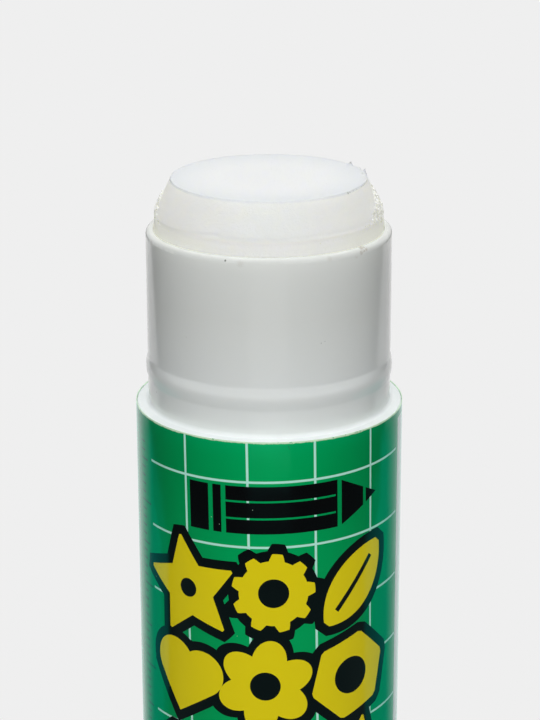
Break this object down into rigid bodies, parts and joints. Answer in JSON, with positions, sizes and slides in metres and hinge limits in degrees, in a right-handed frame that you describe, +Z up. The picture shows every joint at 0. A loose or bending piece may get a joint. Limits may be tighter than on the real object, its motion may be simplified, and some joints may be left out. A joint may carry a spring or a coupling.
{
  "type": "glue stick",
  "caption": "Twist-up glue stick without its cap: a round barrel with a printed label, a fluted knob and a threaded spindle that lifts the glue out of the neck.",
  "frame": {"origin": "centre of the knob's foot ring, on the surface that the stick stands on", "axes": "+Z up the stick, from the knob to the glue; -Y towards the front of the label; the label's seam is at +Y; the barrel's keys are at +X and -X"},
  "size_m": [0.03, 0.03, 0.1075],
  "materials": {
    "barrel_plastic": "glossy white injection moulding",
    "label_film": "glossy printed film, green with a white grid",
    "knob_plastic": "satin white injection moulding",
    "spindle_plastic": "natural milky moulding",
    "carrier_plastic": "natural milky moulding",
    "glue": "waxy translucent white, with crumbs and a worn edge"
  },
  "bodies": {
    "barrel": {"barrel": "barrel_plastic", "label": "label_film"},
    "knob": {"knob": "knob_plastic", "spindle": "spindle_plastic"},
    "carrier": {"carrier": "carrier_plastic", "glue": "glue"}
  },
  "joints": [
    {"name": "knob_turn", "type": "hinge", "parent": "barrel", "child": "knob", "pos_m": [0, 0, 0], "axis": [0, 0, 1], "range_deg": [-360, 3600]},
    {"name": "carrier_lift", "type": "slide", "parent": "barrel", "child": "carrier", "axis": [0, 0, 1], "range_m": [-0.006, 0.06]}
  ],
  "couplings": [
    {"joint": "knob_turn", "follows": "carrier_lift", "rad_per_m": 1047.2}
  ]
}
